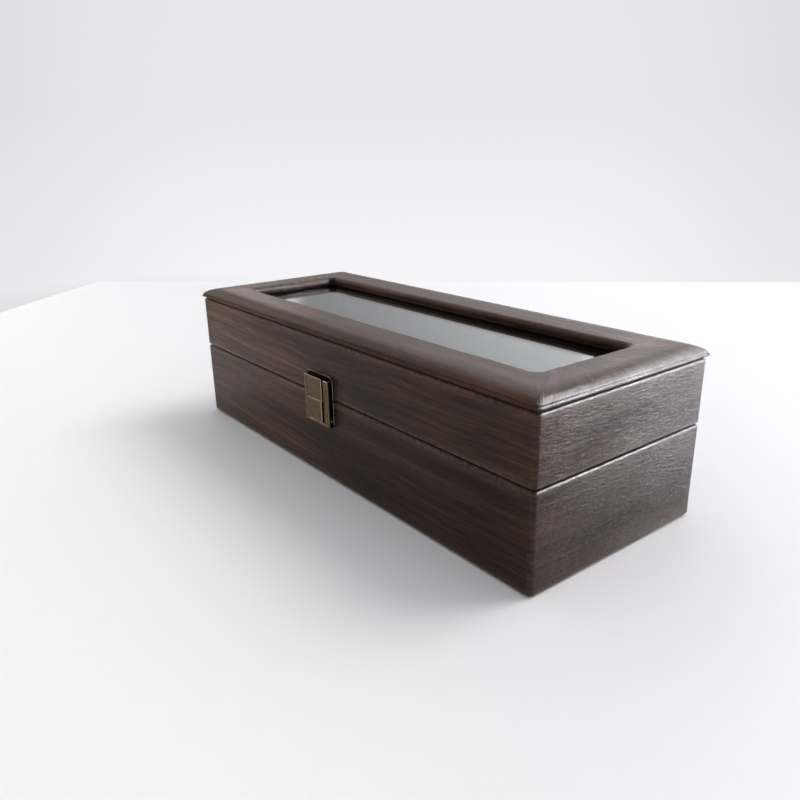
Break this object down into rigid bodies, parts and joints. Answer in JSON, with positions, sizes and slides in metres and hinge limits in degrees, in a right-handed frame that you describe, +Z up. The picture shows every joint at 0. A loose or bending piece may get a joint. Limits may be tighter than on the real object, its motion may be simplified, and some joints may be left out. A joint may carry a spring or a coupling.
{
  "type": "watch box",
  "caption": "Long lidded watch box in wood-grain leatherette with a padded frame round a glass window, compartments with pillows, back hinges and a small brass front latch.",
  "frame": {"origin": "under the middle of the box, on the surface that it stands on", "axes": "+X along the length to the right end seen from the latch side, +Y from the latch side to the hinge side, +Z up"},
  "size_m": [0.274, 0.1121, 0.0786],
  "materials": {
    "leatherette": "satin dark walnut grain",
    "fibreboard": "raw fibreboard",
    "lining_velvet": "short velvet",
    "pillow_velvet": "short velvet over soft filling",
    "felt": "pressed felt",
    "foam": "closed-cell foam",
    "card": "grey card",
    "antique_brass": "brushed antique brass",
    "spring_steel": "plain",
    "clear_glass": "polished clear"
  },
  "bodies": {
    "base": {"base_back_board": "fibreboard", "base_back_lining": "lining_velvet", "base_floor_board": "fibreboard", "base_floor_lining": "lining_velvet", "base_front_board": "fibreboard", "base_front_lining": "lining_velvet", "base_hinge_leaf_left": "antique_brass", "base_hinge_leaf_right": "antique_brass", "base_hinge_nails": "antique_brass", "base_left_board": "fibreboard", "base_left_lining": "lining_velvet", "base_right_board": "fibreboard", "base_right_lining": "lining_velvet", "base_skin": "leatherette", "divider_1": "lining_velvet", "divider_2": "lining_velvet", "divider_3": "lining_velvet", "divider_4": "lining_velvet", "hinge_pin_left": "antique_brass", "hinge_pin_right": "antique_brass", "latch_base_nails": "antique_brass", "latch_base_plate": "antique_brass", "latch_housing": "antique_brass", "latch_pivot_pin": "antique_brass", "latch_springs": "spring_steel", "underside_felt": "felt"},
    "lid": {"frame_back_rail": "fibreboard", "frame_cover": "leatherette", "frame_front_rail": "fibreboard", "frame_left_rail": "fibreboard", "frame_padding": "foam", "frame_right_rail": "fibreboard", "glass_packing": "card", "glass_pane": "clear_glass", "latch_hook": "antique_brass", "latch_lid_nails": "antique_brass", "latch_lid_plate": "antique_brass", "lid_back_board": "fibreboard", "lid_back_lining": "lining_velvet", "lid_front_board": "fibreboard", "lid_front_lining": "lining_velvet", "lid_hinge_leaf_left": "antique_brass", "lid_hinge_leaf_right": "antique_brass", "lid_hinge_nails": "antique_brass", "lid_left_board": "fibreboard", "lid_left_lining": "lining_velvet", "lid_lining_frame": "lining_velvet", "lid_right_board": "fibreboard", "lid_right_lining": "lining_velvet", "lid_skin": "leatherette"},
    "latch_lever": {"latch_lever": "antique_brass"},
    "pillow_1": {"pillow_1": "pillow_velvet"},
    "pillow_2": {"pillow_2": "pillow_velvet"},
    "pillow_3": {"pillow_3": "pillow_velvet"},
    "pillow_4": {"pillow_4": "pillow_velvet"},
    "pillow_5": {"pillow_5": "pillow_velvet"}
  },
  "joints": [
    {"name": "lid_hinge", "type": "hinge", "parent": "base", "child": "lid", "pos_m": [0, 0.054, 0.0436], "axis": [-1, 0, 0], "range_deg": [0, 95]},
    {"name": "latch_lever_swing", "type": "hinge", "parent": "base", "child": "latch_lever", "pos_m": [-0.0025, -0.05375, 0.0335], "axis": [1, 0, 0], "range_deg": [0, 25], "stiffness_Nm_per_rad": 0.004, "springref_deg": -11.46},
    {"name": "pillow_1_lift", "type": "slide", "parent": "base", "child": "pillow_1", "axis": [0, 0, 1], "range_m": [0, 0.016]},
    {"name": "pillow_2_lift", "type": "slide", "parent": "base", "child": "pillow_2", "axis": [0, 0, 1], "range_m": [0, 0.016]},
    {"name": "pillow_3_lift", "type": "slide", "parent": "base", "child": "pillow_3", "axis": [0, 0, 1], "range_m": [0, 0.016]},
    {"name": "pillow_4_lift", "type": "slide", "parent": "base", "child": "pillow_4", "axis": [0, 0, 1], "range_m": [0, 0.016]},
    {"name": "pillow_5_lift", "type": "slide", "parent": "base", "child": "pillow_5", "axis": [0, 0, 1], "range_m": [0, 0.016]}
  ]
}
